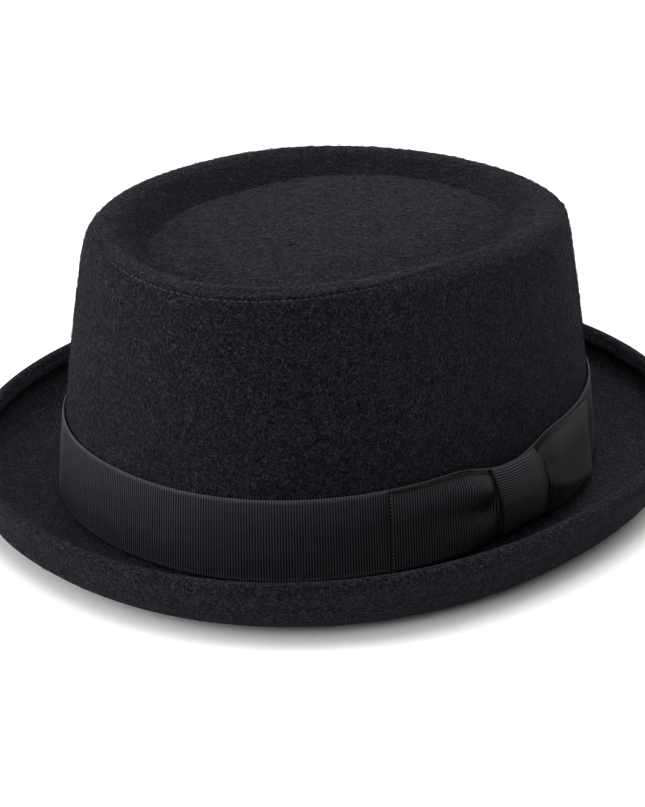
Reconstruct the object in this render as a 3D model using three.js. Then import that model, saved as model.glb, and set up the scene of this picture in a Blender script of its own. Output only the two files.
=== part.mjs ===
// A porkpie hat in black wool felt: a low telescope crown with a stitched ridge round its tip, a
// curled brim with a turned hem, a ribbed ribbon band and a flat bow on the wearer's left.
// Millimetres, +Z up. The origin lies on the surface under the brim, below the middle of the hat.
// The front of the hat faces -Y and the bow is on +X.
import * as THREE from 'three';

// Felt
const FELT = 2.5;
const CLEARANCE = 0.3;
const OVAL_EXPONENT = 2.15;
const STEPS_ROUND = 48;

// Foot of the crown, at the lower edge of the band, measured over the felt
const HEAD_LENGTH = 205.4;
const HEAD_WIDTH = 171.4;
const FOOT_HEIGHT = 6.2;

// Rim of the crown, measured over its outline
const RIM_LENGTH = 186.2;
const RIM_WIDTH = 145.8;
const CREST_HEIGHT = 103.1;
const CREST_PITCH = 3.7;
const CREST_SAG = 3.6;
const CREST_INSET = 7.7;
const CREST_DEPTH = 6;
const WALL_SWELL = 1.2;

// Tip inside the ridge
const CREASE_INSET = 21.5;
const CREASE_DROP_SIDES = 8.5;
const CREASE_DROP_BACK = 5;
const TIP_DOME = 4.5;

// Brim
const BRIM_DEPTH_ENDS = 31.4;
const BRIM_DEPTH_SIDES = 33.9;
const EDGE_HEIGHT = 22.6;
const EDGE_LIFT_SIDES = 1;
const HEM_THICKNESS = 4;

// Band
const RIBBON_WIDTH = 29.2;
const RIBBON = 1;
const BAND_STEPS_ROUND = 96;
const BAND_DIP = 4.5;
const BAND_DIP_REACH = 24;

// Bow
const KNOT_MIDDLE = 2.6;
const FRONT_WING = 52;
const BACK_WING = 52.4;
const WING_THICKNESS = 1.4;
const WING_PUFF = 4.2;
const WING_RISE = 1.6;
const KNOT_WIDTH = 23;
const KNOT_HEIGHT = 25.2;
const KNOT_LEAN = -1.5;
const PINCH_DEPTH = 3.6;
const PINCH_EDGE_DEPTH = 1.2;
const PINCH_ROUNDING = 1.5;

// Sections of the tip, from its middle to the crease: shares of the way out and of the dome
const TIP_ROWS = [
  { out: 0.30, dome: 0.97 },
  { out: 0.58, dome: 0.82 },
  { out: 0.78, dome: 0.57 },
  { out: 0.90, dome: 0.31 },
  { out: 0.965, dome: 0.12 },
];

// From the crease up to the crest: shares of the way out and of the climb
const RIDGE_ROWS = [
  { out: 0.00, climb: 0.00 },
  { out: 0.06, climb: 0.06 },
  { out: 0.20, climb: 0.23 },
  { out: 0.42, climb: 0.50 },
  { out: 0.64, climb: 0.76 },
  { out: 0.80, climb: 0.91 },
  { out: 0.91, climb: 0.98 },
];

// From the crest over to the wall: shares of the inset and of the fall
const CREST_ROWS = [
  { out: 0.00, fall: 0.00 },
  { out: 0.42, fall: 0.10 },
  { out: 0.75, fall: 0.36 },
  { out: 0.94, fall: 0.70 },
];

// Down the wall: shares of its height
const WALL_ROWS = [1, 0.84, 0.66, 0.48, 0.31, 0.15, 0];

// From the wall's foot across the brim to its edge. Across and rise are shares of the brim's depth
// and of the edge's height, at the ends and at the sides; foot is a share of the foot's height.
const BRIM_ROWS = [
  { endsOut: 0.040, endsRise: 0.000, sidesOut: 0.040, sidesRise: 0.000, foot: 0.53, layers: 0 },
  { endsOut: 0.100, endsRise: 0.000, sidesOut: 0.100, sidesRise: 0.000, foot: 0.19, layers: 0 },
  { endsOut: 0.180, endsRise: 0.000, sidesOut: 0.180, sidesRise: 0.000, foot: 0.00, layers: 0 },
  { endsOut: 0.330, endsRise: 0.000, sidesOut: 0.330, sidesRise: 0.000, foot: 0.00, layers: 0 },
  { endsOut: 0.520, endsRise: 0.045, sidesOut: 0.500, sidesRise: 0.005, foot: 0.00, layers: 0 },
  { endsOut: 0.720, endsRise: 0.120, sidesOut: 0.620, sidesRise: 0.020, foot: 0.00, layers: 0 },
  { endsOut: 0.864, endsRise: 0.227, sidesOut: 0.709, sidesRise: 0.059, foot: 0.00, layers: 0 },
  { endsOut: 0.930, endsRise: 0.305, sidesOut: 0.800, sidesRise: 0.135, foot: 0.00, layers: 0 },
  { endsOut: 0.970, endsRise: 0.400, sidesOut: 0.880, sidesRise: 0.270, foot: 0.00, layers: 0 },
  { endsOut: 0.990, endsRise: 0.540, sidesOut: 0.940, sidesRise: 0.450, foot: 0.00, layers: 0 },
  { endsOut: 0.997, endsRise: 0.710, sidesOut: 0.975, sidesRise: 0.680, foot: 0.00, layers: 0 },
  { endsOut: 0.998, endsRise: 0.770, sidesOut: 0.982, sidesRise: 0.760, foot: 0.00, layers: 1 },
  { endsOut: 1.000, endsRise: 1.000, sidesOut: 1.000, sidesRise: 1.000, foot: 0.00, layers: 1 },
];
const SEAT_ROWS = [2, 3];
const EDGE_ROUND_STEPS = 3;

// The bow from its front end to its back end. Along is a share of the front wing's length, or of the
// back wing's where it is positive. Foot and top are shares of the knot's inset at those edges, swell
// a share of the wings' rise over the band, and gather a share of the knot's back behind the pinch.
// The face is the puff at five places from its foot to its top, as shares.
const BOW_ROWS = [
  { along: -1.00, foot: 0.00, top: 0.00, swell: 0.0, gather: 0, face: [0.00, 0.04, 0.05, 0.04, 0.00] },
  { along: -0.80, foot: 0.00, top: 0.00, swell: 0.0, gather: 0, face: [0.03, 0.10, 0.12, 0.14, 0.06] },
  { along: -0.62, foot: 0.00, top: 0.00, swell: 0.1, gather: 0, face: [0.08, 0.18, 0.20, 0.32, 0.15] },
  { along: -0.48, foot: 0.00, top: 0.05, swell: 0.2, gather: 0, face: [0.14, 0.34, 0.32, 0.64, 0.35] },
  { along: -0.38, foot: 0.00, top: 0.22, swell: 0.2, gather: 0, face: [0.25, 0.52, 0.32, 1.00, 0.55] },
  { along: -0.32, foot: 0.20, top: 0.50, swell: 0.0, gather: 0.5, face: [0.30, 0.55, 0.12, 0.90, 0.45] },
  { along: -0.28, foot: 1.00, top: 1.00, swell: 0.0, gather: 1, face: [0.30, 0.42, 0.30, 0.45, 0.30] },
  { along: -0.14, foot: 1.00, top: 1.00, swell: 0.0, gather: 1, face: [0.30, 0.42, 0.30, 0.45, 0.30] },
  { along: 0.00, foot: 1.00, top: 1.00, swell: 0.0, gather: 1, face: [0.40, 0.45, 0.40, 0.45, 0.40] },
  { along: 0.14, foot: 1.00, top: 1.00, swell: 0.0, gather: 1, face: [0.30, 0.42, 0.30, 0.45, 0.30] },
  { along: 0.27, foot: 1.00, top: 1.00, swell: 0.0, gather: 1, face: [0.30, 0.42, 0.30, 0.45, 0.30] },
  { along: 0.32, foot: 0.20, top: 0.50, swell: 0.2, gather: 0.5, face: [0.55, 0.75, 0.80, 0.75, 0.40] },
  { along: 0.40, foot: -0.15, top: 0.15, swell: 0.4, gather: 0, face: [0.70, 0.85, 0.98, 0.75, 0.40] },
  { along: 0.58, foot: -0.15, top: 0.00, swell: 0.4, gather: 0, face: [0.50, 0.65, 0.90, 0.55, 0.25] },
  { along: 0.80, foot: 0.00, top: 0.00, swell: 0.3, gather: 0, face: [0.25, 0.35, 0.60, 0.32, 0.10] },
  { along: 1.00, foot: 0.00, top: 0.00, swell: 0.0, gather: 0, face: [0.00, 0.10, 0.22, 0.10, 0.00] },
];
const LOOP_STEPS_ROUND = 20;
const LOOP_EXPONENT = 3.6;

// Sections of the knot along the hat: shares of half its width, of its waist and of its bulge
const KNOT_ROWS = [
  { along: -1.0, waist: 0, bulge: 0.0 },
  { along: -0.5, waist: 1, bulge: 0.8 },
  { along: 0.0, waist: 1, bulge: 1.0 },
  { along: 0.5, waist: 1, bulge: 0.8 },
  { along: 1.0, waist: 0, bulge: 0.0 },
];
const KNOT_WAIST = 0.5;
const KNOT_BULGE = 0.6;

const lerp = THREE.MathUtils.lerp;

function power(value, exponent) {
  return Math.sign(value) * Math.abs(value) ** exponent;
}

// A point of an oval of the hat with its outward direction, at a turn from +X
function ovalPoint(halfLength, halfWidth, turn) {
  const x = halfWidth * power(Math.cos(turn), 2 / OVAL_EXPONENT);
  const y = halfLength * power(Math.sin(turn), 2 / OVAL_EXPONENT);
  const steepX = power(x / halfWidth, OVAL_EXPONENT - 1) / halfWidth;
  const steepY = power(y / halfLength, OVAL_EXPONENT - 1) / halfLength;
  const steep = Math.hypot(steepX, steepY);
  return { x, y, outX: steepX / steep, outY: steepY / steep };
}

// The crest's height falls towards the back of the hat
function crestHeight(turn) {
  const back = power(Math.sin(turn), 2 / OVAL_EXPONENT);
  return CREST_HEIGHT - CREST_PITCH * back - CREST_SAG * back * back;
}

function wallTopHeight(turn) {
  return crestHeight(turn) - CREST_DEPTH;
}

// Half-length and half-width over the felt at a share of the wall's height
function wallSize(share) {
  const swell = WALL_SWELL * 4 * share * (1 - share);
  return {
    halfLength: lerp(HEAD_LENGTH, RIM_LENGTH, share) / 2 + swell,
    halfWidth: lerp(HEAD_WIDTH, RIM_WIDTH, share) / 2 + swell,
  };
}

// A point at a height and a distance out from the felt of the wall
function besideWall(turn, height, distance) {
  const share = (height - FOOT_HEIGHT) / (wallTopHeight(turn) - FOOT_HEIGHT);
  const size = wallSize(share);
  const at = ovalPoint(size.halfLength, size.halfWidth, turn);
  return new THREE.Vector3(at.x + at.outX * distance, at.y + at.outY * distance, height);
}

// A closed body from rings of points. With poles its two ends are closed to them, and otherwise
// the last ring joins the first.
function bodyFromRings(rings, poles) {
  const count = rings[0].length;
  const points = rings.flat();
  const faces = [];
  const bands = poles ? rings.length - 1 : rings.length;
  for (let i = 0; i < bands; i += 1) {
    const here = i * count;
    const next = ((i + 1) % rings.length) * count;
    for (let j = 0; j < count; j += 1) {
      const k = (j + 1) % count;
      faces.push([here + j, next + j, next + k], [here + j, next + k, here + k]);
    }
  }
  if (poles) {
    const first = points.length;
    const last = first + 1;
    const lastRing = (rings.length - 1) * count;
    points.push(...poles);
    for (let j = 0; j < count; j += 1) {
      const k = (j + 1) % count;
      faces.push([first, j, k], [last, lastRing + k, lastRing + j]);
    }
  }
  let volume = 0;
  for (const [a, b, c] of faces) {
    volume += points[a].dot(new THREE.Vector3().crossVectors(points[b], points[c]));
  }
  const index = volume > 0 ? faces.flat() : faces.flatMap(([a, b, c]) => [a, c, b]);
  const geometry = new THREE.BufferGeometry();
  const positions = points.flatMap((point) => point.toArray());
  geometry.setAttribute('position', new THREE.Float32BufferAttribute(positions, 3));
  geometry.setIndex(index);
  geometry.computeVertexNormals();
  return geometry;
}

function middleOf(ring) {
  const sum = new THREE.Vector3();
  ring.forEach((point) => sum.add(point));
  return sum.divideScalar(ring.length);
}

// The rows of the felt's middle surface at one turn, from beside the tip's middle to the brim's edge
function feltSection(turn) {
  const rows = [];
  const half = FELT / 2;
  const crest = crestHeight(turn) - half;
  const back = Math.max(0, Math.sin(turn));
  const drop = lerp(CREASE_DROP_SIDES, CREASE_DROP_BACK, back);
  const creaseLength = RIM_LENGTH / 2 - CREASE_INSET;
  const creaseWidth = RIM_WIDTH / 2 - CREASE_INSET;
  const creaseHeight = crest - drop;
  const tipHeight = CREST_HEIGHT - half - CREASE_DROP_SIDES + TIP_DOME;

  const add = (halfLength, halfWidth, z, thickness) => {
    const at = ovalPoint(halfLength, halfWidth, turn);
    rows.push({ x: at.x, y: at.y, z, outX: at.outX, outY: at.outY, thickness });
  };

  for (const { out, dome } of TIP_ROWS) {
    add(creaseLength * out, creaseWidth * out, lerp(creaseHeight, tipHeight, dome), FELT);
  }
  for (const { out, climb } of RIDGE_ROWS) {
    const inset = lerp(CREASE_INSET, CREST_INSET, out);
    add(RIM_LENGTH / 2 - inset, RIM_WIDTH / 2 - inset, creaseHeight + drop * climb, FELT);
  }
  for (const { out, fall } of CREST_ROWS) {
    const inset = lerp(CREST_INSET, half, out);
    const height = lerp(crest, wallTopHeight(turn), fall);
    add(RIM_LENGTH / 2 - inset, RIM_WIDTH / 2 - inset, height, FELT);
  }
  for (const share of WALL_ROWS) {
    const size = wallSize(share);
    const height = lerp(FOOT_HEIGHT, wallTopHeight(turn), share);
    add(size.halfLength - half, size.halfWidth - half, height, FELT);
  }
  const sides = Math.cos(turn) ** 2;
  const edge = EDGE_HEIGHT + EDGE_LIFT_SIDES * Math.cos(2 * turn) - HEM_THICKNESS / 2;
  const depthEnds = BRIM_DEPTH_ENDS + half - HEM_THICKNESS / 2;
  const depthSides = BRIM_DEPTH_SIDES + half - HEM_THICKNESS / 2;
  for (const { endsOut, endsRise, sidesOut, sidesRise, foot, layers } of BRIM_ROWS) {
    const across = lerp(endsOut, sidesOut, sides);
    const rise = lerp(endsRise, sidesRise, sides);
    const height = half + (edge - half) * rise + (FOOT_HEIGHT - half) * foot;
    const halfLength = HEAD_LENGTH / 2 - half + depthEnds * across;
    const halfWidth = HEAD_WIDTH / 2 - half + depthSides * across;
    add(halfLength, halfWidth, height, layers ? HEM_THICKNESS : FELT);
  }
  return { rows, tipHeight };
}

// The felt body: its middle surface is given its thickness on both sides, and the brim's edge is
// rounded. The seat rows lie flat on the surface under the hat.
function feltBody() {
  const over = [];
  const under = [];
  const rounds = [];
  let tipHeight = 0;
  for (let step = 0; step < STEPS_ROUND; step += 1) {
    const turn = (step / STEPS_ROUND) * 2 * Math.PI;
    const section = feltSection(turn);
    tipHeight = section.tipHeight;
    const { rows } = section;
    const firstSeat = rows.length - BRIM_ROWS.length;
    const across = rows.map((row) => row.x * rows[0].outX + row.y * rows[0].outY);
    const overColumn = [];
    const underColumn = [];
    rows.forEach((row, i) => {
      const before = Math.max(0, i - 1);
      const after = Math.min(rows.length - 1, i + 1);
      let along = across[after] - across[before];
      let climb = rows[after].z - rows[before].z;
      if (SEAT_ROWS.includes(i - firstSeat)) {
        along = 1;
        climb = 0;
      }
      const size = Math.hypot(along, climb);
      const out = (-climb / size) * (row.thickness / 2);
      const up = (along / size) * (row.thickness / 2);
      overColumn.push(new THREE.Vector3(row.x + row.outX * out, row.y + row.outY * out, row.z + up));
      underColumn.push(new THREE.Vector3(row.x - row.outX * out, row.y - row.outY * out, row.z - up));
    });
    over.push(overColumn);
    under.push(underColumn);
    rounds.push(edgeRound(overColumn.at(-1), underColumn.at(-1), rows.at(-1)));
  }
  const rings = [];
  const rowCount = over[0].length;
  for (let i = 0; i < rowCount; i += 1) rings.push(over.map((column) => column[i]));
  for (let i = 0; i < EDGE_ROUND_STEPS; i += 1) rings.push(rounds.map((column) => column[i]));
  for (let i = rowCount - 1; i >= 0; i -= 1) rings.push(under.map((column) => column[i]));
  const poles = [
    new THREE.Vector3(0, 0, tipHeight + FELT / 2),
    new THREE.Vector3(0, 0, tipHeight - FELT / 2),
  ];
  return bodyFromRings(rings, poles);
}

// Half a turn round the brim's edge, from its inner face to its outer face
function edgeRound(inner, outer, row) {
  const middle = new THREE.Vector3(row.x, row.y, row.z);
  const arm = new THREE.Vector3().subVectors(inner, middle);
  const tip = new THREE.Vector3(-row.outX * arm.z, -row.outY * arm.z, 0);
  tip.z = Math.hypot(arm.x, arm.y);
  if (arm.z > 0) tip.multiply(new THREE.Vector3(-1, -1, 1));
  tip.setLength(arm.length());
  const points = [];
  for (let i = 1; i <= EDGE_ROUND_STEPS; i += 1) {
    const angle = (i / (EDGE_ROUND_STEPS + 1)) * Math.PI;
    const point = middle.clone();
    point.addScaledVector(arm, Math.cos(angle));
    point.addScaledVector(tip, Math.sin(angle));
    points.push(point);
  }
  return points;
}

// The band's top edge is drawn down where the knot holds it
function bandTop(turn) {
  const along = (Math.sin(turn) * HEAD_LENGTH) / 2 - KNOT_MIDDLE;
  const near = Math.cos(turn) > 0 ? Math.max(0, 1 - Math.abs(along) / BAND_DIP_REACH) : 0;
  return FOOT_HEIGHT + RIBBON_WIDTH - BAND_DIP * THREE.MathUtils.smoothstep(near, 0, 1);
}

// The band: a ring of ribbon standing just off the felt
function bandRing() {
  const ring = (share, distance) => {
    const points = [];
    for (let step = 0; step < BAND_STEPS_ROUND; step += 1) {
      const turn = (step / BAND_STEPS_ROUND) * 2 * Math.PI;
      points.push(besideWall(turn, lerp(FOOT_HEIGHT, bandTop(turn), share), distance));
    }
    return points;
  };
  const shares = [0, 0.5, 1];
  const inner = shares.map((share) => ring(share, CLEARANCE));
  const outer = shares.map((share) => ring(share, CLEARANCE + RIBBON)).reverse();
  return bodyFromRings([...inner, ...outer]);
}

// The turn from +X of a place along the bow's side of the hat
function turnAlong(along) {
  return Math.asin(power((2 * along) / HEAD_LENGTH, OVAL_EXPONENT / 2));
}

// The face's puff between its five given places, eased from one to the next
function easedAcross(values, share) {
  const place = share * (values.length - 1);
  const low = Math.min(values.length - 2, Math.floor(place));
  const ease = THREE.MathUtils.smoothstep(place - low, 0, 1);
  return lerp(values[low], values[low + 1], ease);
}

const BAND_FACE = CLEARANCE + RIBBON;
const BAND_MIDDLE = FOOT_HEIGHT + RIBBON_WIDTH / 2;
const PINCH_HEIGHT = KNOT_HEIGHT - 2 * (RIBBON + CLEARANCE) - 2 * KNOT_WAIST;

// The pinch is deepest half-way up, where upward is 0, and shallow at its foot and its top
function pinchDepth(upward) {
  return lerp(PINCH_DEPTH, PINCH_EDGE_DEPTH, Math.abs(upward) ** PINCH_ROUNDING);
}

// The bow's ribbon: two wings, pinched together in the middle
function bowRibbon() {
  const tuckFull = (RIBBON_WIDTH - PINCH_HEIGHT) / 2;
  const rings = BOW_ROWS.map(({ along, foot, top, swell, gather, face }) => {
    const reach = along < 0 ? FRONT_WING : BACK_WING;
    const turn = turnAlong(KNOT_MIDDLE + along * reach);
    const low = BAND_MIDDLE - RIBBON_WIDTH / 2 + tuckFull * foot;
    const high = BAND_MIDDLE + RIBBON_WIDTH / 2 - tuckFull * top + WING_RISE * swell;
    const back = BAND_FACE + CLEARANCE + (RIBBON + CLEARANCE) * gather;
    const points = [];
    for (let step = 0; step < LOOP_STEPS_ROUND; step += 1) {
      const angle = (step / LOOP_STEPS_ROUND) * 2 * Math.PI;
      const upward = power(Math.sin(angle), 2 / LOOP_EXPONENT);
      const outward = (1 + power(Math.cos(angle), 2 / LOOP_EXPONENT)) / 2;
      const share = (1 + upward) / 2;
      const wing = WING_THICKNESS + WING_PUFF * easedAcross(face, share);
      const thickness = lerp(wing, pinchDepth(upward), gather);
      points.push(besideWall(turn, lerp(low, high, share), back + thickness * outward));
    }
    return points;
  });
  return bodyFromRings(rings, [middleOf(rings[0]), middleOf(rings.at(-1))]);
}

// The knot: a loop of ribbon round the pinch
function bowKnot() {
  const loop = (along, halfHeight, back, extra) => {
    const points = [];
    for (let step = 0; step < LOOP_STEPS_ROUND; step += 1) {
      const angle = (step / LOOP_STEPS_ROUND) * 2 * Math.PI;
      const upward = power(Math.sin(angle), 2 / LOOP_EXPONENT);
      const outward = (1 + power(Math.cos(angle), 2 / LOOP_EXPONENT)) / 2;
      const lean = KNOT_LEAN * upward * outward;
      const turn = turnAlong(KNOT_MIDDLE + along + lean);
      const depth = pinchDepth(upward) + extra;
      points.push(besideWall(turn, BAND_MIDDLE + halfHeight * upward, back + depth * outward));
    }
    return points;
  };
  const outer = [];
  const inner = [];
  for (const { along, waist, bulge } of KNOT_ROWS) {
    const place = (along * KNOT_WIDTH) / 2;
    const halfHeight = KNOT_HEIGHT / 2 - KNOT_WAIST * waist;
    const extra = 2 * (RIBBON + CLEARANCE) + KNOT_BULGE * bulge;
    const back = BAND_FACE + CLEARANCE;
    outer.push(loop(place, halfHeight, back, extra));
    inner.push(loop(place, halfHeight - RIBBON, back + RIBBON, extra - 2 * RIBBON));
  }
  return bodyFromRings([...outer, ...inner.reverse()]);
}

const felt = new THREE.MeshStandardMaterial({ color: 0x131216, roughness: 0.95, metalness: 0 });
const ribbon = new THREE.MeshStandardMaterial({ color: 0x18181c, roughness: 0.55, metalness: 0 });

const hat = new THREE.Group();
const PIECES = [
  { name: 'felt_body', geometry: feltBody(), material: felt },
  { name: 'hat_band', geometry: bandRing(), material: ribbon },
  { name: 'bow_ribbon', geometry: bowRibbon(), material: ribbon },
  { name: 'bow_knot', geometry: bowKnot(), material: ribbon },
];
for (const { name, geometry, material } of PIECES) {
  const piece = new THREE.Mesh(geometry, material.clone());
  piece.name = name;
  hat.add(piece);
}

export default hat;
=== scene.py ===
"""A porkpie hat in black wool felt with a ribbed ribbon band and a flat bow.

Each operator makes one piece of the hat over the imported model, at its real size in metres. The hat
rests on z = 0, its front faces -Y and the bow is on +X. Turns are angles from +X, seen from above.
"""
import math

import bmesh
import bpy
import numpy as np
from bpy.props import FloatProperty, FloatVectorProperty, IntProperty, PointerProperty
from mathutils import Matrix, Vector


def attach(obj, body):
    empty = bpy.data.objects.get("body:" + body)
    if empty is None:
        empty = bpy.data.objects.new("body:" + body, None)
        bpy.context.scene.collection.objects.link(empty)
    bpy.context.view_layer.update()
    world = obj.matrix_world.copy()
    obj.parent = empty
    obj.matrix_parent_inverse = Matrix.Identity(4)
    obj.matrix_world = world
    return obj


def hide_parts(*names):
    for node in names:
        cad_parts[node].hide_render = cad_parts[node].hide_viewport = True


bl_info = {
    "name": "Porkpie Hat",
    "version": (1, 0, 0),
    "blender": (4, 5, 0),
    "location": "View3D > Sidebar > Hat",
    "description": "Makes a felt porkpie hat with a ribbon band and bow",
    "category": "Object",
}

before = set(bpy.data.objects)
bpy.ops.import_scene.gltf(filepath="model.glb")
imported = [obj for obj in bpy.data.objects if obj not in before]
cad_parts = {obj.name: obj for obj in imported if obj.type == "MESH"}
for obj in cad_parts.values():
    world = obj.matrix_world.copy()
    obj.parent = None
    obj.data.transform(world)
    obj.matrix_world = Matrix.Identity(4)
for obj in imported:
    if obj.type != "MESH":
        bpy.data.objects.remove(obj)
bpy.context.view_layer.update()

TURN = 2 * math.pi
OVAL_EXPONENT = 2.15

# Places round the hat at which the felt is modelled, its fibres are strewn and its seam is found
SHELL_PLACES = 240
NAP_PLACES = 480
SEAM_PLACES = 720

# The felt's sections follow in five tables, from the middle of the tip to the edge of the brim.
# The last number of each row is the number of steps to the next one.

# The tip from its middle to the crease: shares of the way out and of the dome
TIP_ROWS = [
    (0.02, 1.00, 1),
    (0.12, 0.995, 2),
    (0.30, 0.970, 3),
    (0.58, 0.820, 4),
    (0.78, 0.570, 4),
    (0.90, 0.310, 3),
    (0.965, 0.120, 3),
]

# From the crease up to the crest: shares of the way out and of the climb
RIDGE_ROWS = [
    (0.00, 0.00, 2),
    (0.06, 0.06, 3),
    (0.20, 0.23, 3),
    (0.42, 0.50, 4),
    (0.64, 0.76, 4),
    (0.80, 0.91, 4),
    (0.91, 0.98, 4),
]

# From the crest over to the wall: shares of the inset and of the fall
CREST_ROWS = [
    (0.00, 0.00, 6),
    (0.42, 0.10, 6),
    (0.75, 0.36, 6),
    (0.94, 0.70, 4),
]

# Down the wall: shares of its height
WALL_ROWS = [
    (1.00, 6),
    (0.84, 4),
    (0.66, 4),
    (0.48, 3),
    (0.31, 3),
    (0.15, 3),
    (0.00, 2),
]

# Across the brim: shares of its depth and its rise at the ends and at the sides, of the foot's
# height, and whether the turned hem makes it thicker there
BRIM_ROWS = [
    (0.040, 0.000, 0.040, 0.000, 0.53, 0, 2),
    (0.100, 0.000, 0.100, 0.000, 0.19, 0, 2),
    (0.180, 0.000, 0.180, 0.000, 0.00, 0, 2),
    (0.330, 0.000, 0.330, 0.000, 0.00, 0, 3),
    (0.520, 0.045, 0.500, 0.005, 0.00, 0, 3),
    (0.720, 0.120, 0.620, 0.020, 0.00, 0, 3),
    (0.864, 0.227, 0.709, 0.059, 0.00, 0, 3),
    (0.930, 0.305, 0.800, 0.135, 0.00, 0, 3),
    (0.970, 0.400, 0.880, 0.270, 0.00, 0, 3),
    (0.990, 0.540, 0.940, 0.450, 0.00, 0, 4),
    (0.997, 0.710, 0.975, 0.680, 0.00, 0, 3),
    (0.998, 0.770, 0.982, 0.760, 0.00, 1, 6),
    (1.000, 1.000, 1.000, 1.000, 0.00, 1, 0),
]

# The bow from its front end to its back end: place along it, shares of the inset at its foot and
# top, of its rise over the band and of the pinch, then its puff at seven places from foot to top
BOW_ROWS = [
    (-1.00, 0.00, 0.00, 0.0, 0.0, (0.00, 0.03, 0.04, 0.05, 0.06, 0.03, 0.00)),
    (-0.80, 0.00, 0.00, 0.0, 0.0, (0.02, 0.09, 0.10, 0.10, 0.13, 0.13, 0.03)),
    (-0.62, 0.00, 0.00, 0.1, 0.0, (0.06, 0.17, 0.20, 0.16, 0.27, 0.30, 0.08)),
    (-0.50, 0.05, 0.04, 0.2, 0.0, (0.10, 0.34, 0.42, 0.30, 0.48, 0.56, 0.16)),
    (-0.40, 0.15, 0.16, 0.2, 0.0, (0.14, 0.54, 0.64, 0.36, 0.80, 0.92, 0.24)),
    (-0.32, 0.35, 0.42, 0.0, 0.0, (0.16, 0.62, 0.72, 0.28, 0.84, 0.98, 0.28)),
    (-0.265, 0.62, 0.72, 0.0, 0.3, (0.16, 0.54, 0.60, 0.22, 0.64, 0.72, 0.26)),
    (-0.215, 1.00, 1.00, 0.0, 1.0, (0.16, 0.30, 0.30, 0.20, 0.40, 0.40, 0.20)),
    (-0.10, 1.00, 1.00, 0.0, 1.0, (0.30, 0.36, 0.40, 0.40, 0.40, 0.36, 0.30)),
    (0.00, 1.00, 1.00, 0.0, 1.0, (0.30, 0.36, 0.40, 0.40, 0.40, 0.36, 0.30)),
    (0.10, 1.00, 1.00, 0.0, 1.0, (0.30, 0.36, 0.40, 0.40, 0.40, 0.36, 0.30)),
    (0.215, 1.00, 1.00, 0.0, 1.0, (0.16, 0.30, 0.50, 0.55, 0.40, 0.25, 0.15)),
    (0.265, 0.60, 0.66, 0.0, 0.3, (0.20, 0.50, 0.86, 0.90, 0.62, 0.36, 0.15)),
    (0.32, 0.20, 0.40, 0.0, 0.0, (0.24, 0.62, 1.02, 1.04, 0.74, 0.42, 0.14)),
    (0.42, -0.10, 0.16, 0.0, 0.0, (0.24, 0.62, 1.02, 1.10, 0.80, 0.42, 0.12)),
    (0.58, -0.15, 0.10, 0.0, 0.0, (0.20, 0.48, 0.84, 0.98, 0.70, 0.36, 0.08)),
    (0.80, 0.00, 0.20, 0.0, 0.0, (0.08, 0.24, 0.46, 0.62, 0.46, 0.22, 0.04)),
    (1.00, 0.00, 0.34, 0.0, 0.0, (0.00, 0.08, 0.18, 0.26, 0.20, 0.10, 0.00)),
]

# The band's face from its foot to its top: share of its height, distance from the ribs' tops, and
# how much it belongs to the selvedge, which also gets a painted highlight
BAND_ROWS = [
    (0.000, -0.00028, 1.0),
    (0.012, -0.00008, 1.0),
    (0.035, 0.0, 0.6),
    (0.060, -0.00005, 0.0),
    (0.300, 0.0, 0.0),
    (0.500, 0.0, 0.0),
    (0.700, 0.0, 0.0),
    (0.940, -0.00005, 0.0),
    (0.965, 0.0, 0.6),
    (0.988, -0.00008, 1.0),
    (1.000, -0.00028, 1.0),
]

# Rows of the band's back, from its top to its foot
BAND_BACK = (0.995, 0.5, 0.005)

# How far the ribs' loops stand out past the edges of the band and of the wings
BAND_LOOP = 0.00025
WING_LOOP = 0.0002

# Painted shade on the back of a ribbon: how light it is, as a share of its ribs' tone
PAINTED_BACK_SHADE = 0.3

# The knot's section is a rounded box; a higher exponent makes its corners sharper
KNOT_EXPONENT = 3.6

# Patches of nap: the surface, its rows by their run from the crest in metres, the share of the
# fibres that stand up, and the share of the nap's number of fibres
NAP_PATCHES = [
    ("nap_wall", "over", 0.002, 0.073, 0.16, 1.0),
    ("nap_ridge", "over", -0.016, 0.002, 0.16, 0.36),
    ("nap_tip", "over", -0.120, -0.016, 0.10, 0.45),
    ("nap_brim", "over", 0.100, 0.150, 0.13, 0.75),
    ("nap_under_brim", "under", 0.106, 0.150, 0.13, 0.60),
]

# Fibres of the nap that stand up and that lie: tilts in radians and lengths in metres
STANDING_TILT = (0.35, 1.1)
STANDING_LENGTH = (0.0005, 0.0011)
LYING_TILT = (0.0, 0.12)
LYING_LENGTH = (0.0012, 0.0032)

# How far a fibre bends sideways and up, as shares of its length, and half its thickness
FIBRE_BEND = 0.24
FIBRE_LIFT = (0.03, 0.12)
FIBRE_HALF = (0.00004, 0.00009)

# Stitches of the ridge and of the bow's ends: half length, half thickness and how far they bow up
RIDGE_STITCH = (0.00098, 0.00018, 0.0001)
BOW_STITCH = (0.00062, 0.00013, 0.00005)

# Width of the ridge's seam, and its depth behind and in front
SEAM_WIDTH = 0.00045
SEAM_DEPTH = (0.0001, 0.0007)

# The ridge's seam runs furthest down the wall at this azimuth from the front, in radians
SEAM_AZIMUTH = 0.49

# Lines in the felt's upper face: distance from the seam towards the tip, width and depth
FINE_CREASE = (0.0031, 0.0005, 0.00025)
SEAM_LIP = (0.0013, 0.0009, -0.0002)

# Lines along the brim: distance from its edge, width and depth
HEM_SEAM = (0.0052, 0.0005, 0.00035)
HEM_ROLL = (0.0025, 0.0020, -0.0003)
HEM_VALLEY = (0.0042, 0.0012, 0.0004)

# The hand-formed felt's slight waves: height, waves round the hat, waves a metre down and shift
WAVES = [
    (0.00016, 3, 21, 0.4),
    (0.00012, 5, 43, 2.1),
    (0.00010, 8, 70, 4.0),
    (0.00006, 13, 110, 1.2),
]

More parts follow.
